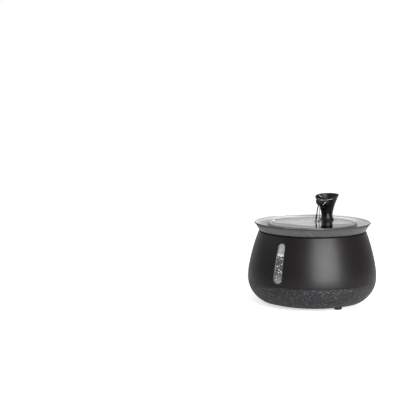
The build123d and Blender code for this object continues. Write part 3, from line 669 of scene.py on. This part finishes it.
def dish_water(material):
    """Water that fills the dish and bulges over its ridge, rippled by the stream."""
    steps = 64
    flat = [(DISH_WATER_R * step / steps, DISH_LEVEL_Z) for step in range(steps + 1)]
    # the brim bulges over the ridge, and the underside lies in the dish
    brim = [(82.2, 153.92), (82.6, 153.84), (82.5, 153.80), (82.0, 153.66), (81.45, 153.13)]
    under = [(78.6, 147.76), (76.79, 145.82), (74.2, 145.1), (36.0, 145.1), (0.0, 145.1)]
    outline = flat + [(radius * MM, height * MM) for radius, height in brim + under]

    def lift(x, y, height):
        if height < DISH_LEVEL_Z - HAIR:
            return 0.0
        inside = max(0.0, min(1.0, (DISH_WATER_R - 0.1 * MM - math.hypot(x, y)) / (6 * MM)))
        return ripple(x, y) * inside

    water = lathe("dish_water", outline, material, 144, lift)
    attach(water, "bowl")


def tank_radius(height):
    """Inner radius of the reservoir at a height, from the three arcs of the casing."""
    rise = height - BELLY_Z
    if rise < 0.0:
        low = max(0.0, (LOW_ARC_R - TANK_INSIDE) ** 2 - rise ** 2)
        return BELLY_R - LOW_ARC_R + math.sqrt(low)
    turn = math.radians(BELLY_ARC_DEG)
    if rise < BELLY_ARC_R * math.sin(turn):
        return BELLY_R - BELLY_ARC_R + math.sqrt((BELLY_ARC_R - TANK_INSIDE) ** 2 - rise ** 2)
    back = NECK_ARC_R - BELLY_ARC_R
    centre_r = BELLY_R - BELLY_ARC_R - back * math.cos(turn)
    drop = rise + back * math.sin(turn)
    return centre_r + math.sqrt((NECK_ARC_R - TANK_INSIDE) ** 2 - drop ** 2)


def reservoir_water(material):
    """Water in the reservoir up to its level in the window."""
    low = TANK_FLOOR_Z + 0.1 * MM
    steps = 24
    levels = [low + (WATER_LEVEL_Z - low) * step / steps for step in range(steps + 1)]
    outline = [(0.0, low)] + [(tank_radius(z), z) for z in levels]
    outline += [(tank_radius(WATER_LEVEL_Z) * share, WATER_LEVEL_Z) for share in (0.75, 0.5, 0.25)]
    outline.append((0.0, WATER_LEVEL_Z))

    def lift(x, y, height):
        if height < WATER_LEVEL_Z - HAIR:
            return 0.0
        return 0.5 * MM * noise.noise(Vector((x, y, 0.2)) * 45.0)

    water = lathe("reservoir_water", outline, material, 120, lift)
    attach(water, "housing")


def window_bubbles(material):
    """Bubbles on the inside of the tank behind the window."""
    draw = random.Random(SEED)
    pieces = []

    def cling(x, z, wide, tall):
        deep = 0.7 * tall
        radius = tank_radius(z) - 0.6 * deep
        y = -math.sqrt(radius * radius - x * x)
        pieces.append(blob((x, y, z), (wide, deep, tall)))

    # places by the photograph: x, z, half width and half height in millimetres
    large = (
        (2.2, 88.6, 1.3, 1.3), (-6.8, 84.3, 2.8, 0.9), (-3.2, 79.1, 1.1, 1.1), (-1.6, 77.6, 0.8, 0.8),
        (1.6, 76.2, 1.2, 1.1), (-2.4, 73.6, 1.7, 1.0), (2.9, 74.5, 1.3, 1.2), (4.0, 73.6, 0.9, 0.8),
    )
    small = (
        (-8.0, 100.3, 1.9, 0.8), (-6.2, 99.6, 0.9, 0.7), (-0.8, 99.2, 1.3, 0.8), (2.1, 97.5, 1.2, 0.7),
        (-10.0, 80.0, 0.9, 0.8), (-6.8, 66.6, 1.1, 0.8), (-5.9, 61.1, 1.3, 0.8),
    )
    for x, z, wide, tall in large + small:
        cling(x * MM, z * MM, wide * MM, tall * MM)
    for _ in range(12):
        size = draw.uniform(0.35, 0.55) * MM
        cling(draw.uniform(-11.0, 4.0) * MM, draw.uniform(64.0, 100.0) * MM, size, size)
    made = together("window_bubbles", pieces, material)
    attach(made, "housing")


def fall_line(lip, foot, bow, steps=30):
    """Path of falling water, thrown forwards as it leaves the lip."""
    points = []
    for step in range(steps + 1):
        share = step / steps
        x = lip.x + (foot.x - lip.x) * share + bow * math.sin(math.pi * share)
        y = lip.y + (foot.y - lip.y) * share ** 0.6
        z = lip.z + (foot.z - lip.z) * share
        points.append(Vector((x, y, z)))
    return points


def stream(clear, shaded):
    """Falling water: a clear film that hangs between a heavy strand and a fine one, both painted dark
    as shade.
    """
    around = 24
    left = fall_line(*HEAVY_STRAND)
    right = fall_line(*FINE_STRAND)
    film = 0.16 * MM
    vertices = []
    for index, (one, other) in enumerate(zip(left, right)):
        middle, half = (one + other) / 2, (other - one) / 2
        sway = 0.25 * MM * math.sin(index * 0.8)
        for step in range(around):
            angle = 2 * math.pi * step / around
            across = math.cos(angle)
            round_off = math.sqrt(max(0.0, 1 - abs(across) ** 6))
            side = 1 if math.sin(angle) >= 0 else -1
            away = Vector((0.0, side * film * round_off + sway * round_off, 0.0))
            vertices.append(middle + half * across + away)
    sheet = shown("water_stream", vertices, capped_rings(len(left), around), clear)

    # painted shade: the strands swell at their feet into dark blobs for the dimples where the stream
    # lands, and the heavy one thickens into a dark knot on its way down
    def foot(share):
        return max(0.0, (share - 0.9) / 0.1)

    def heavy(share):
        knot = math.exp(-((share - 0.72) / 0.14) ** 2)
        return (1.15 + 0.20 * share + 0.50 * knot + 1.4 * foot(share)) * MM

    def fine(share):
        return (0.58 + 0.12 * share + 1.9 * foot(share)) * MM

    strands = together("stream_strands", [thread(left, heavy), thread(right, fine)], shaded)
    for made in (sheet, strands):
        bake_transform(made)


def splash(material):
    """Small crown and beads where the stream meets the dish."""
    draw = random.Random(SEED + 1)
    pieces = []

    def bead(nearest, farthest, low, high, rise, wide, deep):
        angle = draw.uniform(0, 2 * math.pi)
        reach = draw.uniform(nearest, farthest) * MM
        size = draw.uniform(low, high) * MM
        x, y = LANDING.x + reach * math.cos(angle), LANDING.y + reach * math.sin(angle)
        centre = (x, y, LANDING.z + draw.uniform(-0.2, rise) * MM)
        pieces.append(blob(centre, (size * wide, size * deep, size)))

    for _ in range(15):
        bead(3.4, 5.6, 0.45, 1.0, 0.0, 1.5, 1.2)
    for _ in range(8):
        bead(6.0, 12.0, 0.3, 0.5, 1.6, 1.0, 1.0)
    made = together("splash_beads", pieces, material)
    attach(made, "bowl")


def spout_pool(material):
    """Water standing in the scoop up to its front rim, with short waves."""
    steps = 18
    wave_length = 5.0 * MM
    outline = [(POOL_R * step / steps, POOL_LEVEL_Z) for step in range(steps + 1)]
    under = [(15.0, 190.0), (10.0, 185.0), (5.2, 179.5), (0.0, 179.0)]
    outline += [(radius * MM, height * MM) for radius, height in under]

    def lift(x, y, height):
        if height < POOL_LEVEL_Z - HAIR:
            return 0.0
        warp = 2.0 * noise.noise(Vector((x, y, 0.4)) * 90.0)
        return 0.30 * MM * math.sin((x * 0.8 + y * 0.6) / wave_length * 2 * math.pi + warp)

    made = lathe("spout_pool", outline, material, 64, lift, centre=(0.0, POOL_Y))
    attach(made, "spout")


def spout_painted_glints(material):
    """Pale threads painted as highlights: the bright edge of the pool at the front rim, one down the
    scoop's wall and one beside the lip.
    """
    start_deg, climb_deg, end_deg = 180, 285, 338
    edge = []
    for degrees in range(start_deg, end_deg + 1, 3):
        angle = math.radians(degrees)
        along_rim = max(0.0, (degrees - climb_deg) / (end_deg - climb_deg))
        radius = (17.4 + 3.6 * math.sin(math.pi / 2 * along_rim)) * MM
        height = (193.2 + 3.4 * along_rim ** 1.3) * MM
        edge.append(Vector((radius * math.cos(angle), POOL_Y + radius * math.sin(angle), height)))
    wall = curve_through(((-20.5, 57.2, 200.8), (-16.0, 61.1, 194.3)), 12)
    beside = ((11.8, 30.7, 190.4), (10.0, 28.5, 189.0), (7.7, 27.7, 186.5), (4.6, 28.5, 183.2))
    lip = curve_through(beside, 4)

    def uneven(share):
        return (0.47 + 0.12 * math.sin(share * 41.0) * math.sin(share * 17.0)) * MM

    def tapered(share):
        return (0.25 + 0.22 * math.sin(math.pi * share)) * MM

    pieces = [thread(edge, uneven), thread(wall, tapered), thread(lip, tapered)]
    made = together("spout_painted_glints", pieces, material)
    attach(made, "spout")


# ================================================================ studio
def studio():
    """White to the eye; what gloss sees is grey on the camera's side, bright behind and overhead."""
    world = bpy.data.worlds.new("studio")
    world.use_nodes = True
    world.node_tree.nodes.clear()
    scene.world = world
    sky = Nodes(world.node_tree)
    rays = sky.node("ShaderNodeLightPath").outputs
    direction = sky.node("ShaderNodeTexCoord").outputs["Generated"]

    def rising(axis, start, end, top):
        """Brightness that rises from the near side's to top as the direction turns to the axis."""
        along = sky.node("ShaderNodeVectorMath", {"operation": "DOT_PRODUCT"})
        sky.feed(along.inputs[0], direction)
        sky.feed(along.inputs[1], axis)
        return sky.ramp(along.outputs["Value"], start, end, NEAR_SIDE, top)

    turn = math.radians(CAMERA_TURN_DEG)
    behind = rising((-math.sin(turn), math.cos(turn), 0.0), 0.5, 1.0, BACKDROP)
    overhead = rising((0.0, 0.0, 1.0), 0.45, 0.85, OVERHEAD)
    lit = sky.mix(rays["Is Glossy Ray"], AMBIENT, sky.math("MAXIMUM", behind, overhead))
    seen = sky.math("MAXIMUM", rays["Is Camera Ray"], rays["Is Transmission Ray"])
    white = (1.0, 1.0, 1.0, 1.0)
    glow = sky.node("ShaderNodeBackground", Color=white, Strength=sky.mix(seen, lit, 1.0))
    sky.node("ShaderNodeOutputWorld", Surface=glow.outputs[0])


def pale_floor():
    """Large pale floor that keeps the shadow and looks nearly white to the camera."""
    look = Look("floor_pale", Specular_IOR_Level=0.1, Roughness=0.8)
    spot = look.place()
    look.set("Base Color", look.tint(look.noise(spot, 3.0), grey(0.90), grey(0.94)))
    rays = look.node("ShaderNodeLightPath").outputs
    seen = look.math("MAXIMUM", rays["Is Camera Ray"], rays["Is Transmission Ray"])
    look.set("Emission Strength", look.math("MULTIPLY", seen, FLOOR_LIFT))
    look.set("Emission Color", (1.0, 1.0, 1.0, 1.0))
    reach = 6.0
    corners = [(-reach, -reach, 0), (reach, -reach, 0), (reach, reach, 0), (-reach, reach, 0)]
    floor = shown("floor", corners, [(0, 1, 2, 3)], look.material)


def softbox(name, azimuth, distance, height, size, power):
    """Upright area light at an azimuth round the object, facing it."""
    lamp = bpy.data.lights.new(name, "AREA")
    lamp.shape = "RECTANGLE"
    lamp.size, lamp.size_y = size
    lamp.energy = power
    made = bpy.data.objects.new(name, lamp)
    angle = math.radians(azimuth)
    made.location = (distance * math.sin(angle), -distance * math.cos(angle), height)
    aim = Vector((0, 0, 0.1)) - made.location
    made.rotation_euler = aim.to_track_quat("-Z", "Y").to_euler()
    scene.collection.objects.link(made)


def camera():
    """Camera at the photograph's place and angle."""
    data = bpy.data.cameras.new("camera")
    data.lens = LENS_MM
    data.sensor_width = 36.0
    data.clip_start = 0.05
    made = bpy.data.objects.new("camera", data)
    made.location = CAMERA_PLACE
    made.rotation_euler = (math.radians(CAMERA_TILT_DEG), 0.0, math.radians(CAMERA_TURN_DEG))
    scene.collection.objects.link(made)
    scene.camera = made


# ================================================================ dressing the frame
LOOKS = {
    "shell_black": satin_black(),
    "base_speckled": speckled(),
    "bowl_steel": brushed_steel_painted_shade(),
    "window_clear": clear_lens(),
    "spout_black": gloss_black(),
    "foot_rubber": rubber("foot_rubber", 0.012),
    "seal_silicone": rubber("seal_silicone", 0.014),
    "tank_grey": tank_plastic(),
    "pump_black": moulded("pump_black", grey(0.022), 0.42),
    "dial_grey": moulded("dial_grey", grey(0.14), 0.4),
    "impeller_white": pale_plastic("impeller_white", 0.72),
    "magnet": mineral("rotor_ferrite", 0.03, 0.38),
    "shaft_ceramic": mineral("shaft_ceramic", 0.78, 0.18, 2500.0),
    "bush_rubber": rubber("bush_rubber", 0.02),
    "core_steel": worked_metal("laminated_core", 0.30, 0.4, 2400.0),
    "ferrite": mineral("coil_ferrite", 0.035, 0.55),
    "copper": wound_wire(),
    "board_green": circuit_board(),
    "inlet_metal": worked_metal("plated_inlet", 0.62, 0.26),
    "screw_steel": worked_metal("screw_steel", 0.55, 0.3, 1800.0),
    "filter_clear": pale_plastic("basket_pale", 0.55, 0.9),
    "socket_black": moulded("socket_black", grey(0.016), 0.36),
    "filter_foam": porous("filter_foam", grey(0.015), grey(0.11), 420.0, 0.5),
    "filter_felt": porous("filter_felt", grey(0.45), grey(0.80), 900.0, 0.3),
}


def dress_nodes():
    """Gives each CAD node the look of its material slot."""
    for part in frame["record"]["subparts"]:
        node = frame["nodes"][part["node"]]
        node.data.materials.clear()
        node.data.materials.append(LOOKS[part["material_slot"]])


dress_nodes()
dish_water(clear_water("clear_water"))
reservoir_water(reservoir_water_painted_dark())
# painted light: the bubbles in the window glow a little, though they are no lamp
window_bubbles(bubble_white("bubble_white", grey(0.95), glow=0.22))
stream(clear_water("stream_water", 0.99), painted_dark_water())
splash(clear_water("splash_water", 0.99))
spout_pool(clear_water("pool_water", 0.9))
# painted highlights: pale threads on the spout stand in for glints of water
spout_painted_glints(bubble_white("glint_pale", (0.66, 0.64, 0.72), alpha=0.62))
studio()
pale_floor()
softbox("key", KEY_AZIMUTH_DEG, KEY_DISTANCE, KEY_HEIGHT, KEY_SIZE, KEY_POWER)
softbox("fill", FILL_AZIMUTH_DEG, FILL_DISTANCE, FILL_HEIGHT, FILL_SIZE, FILL_POWER)
camera()
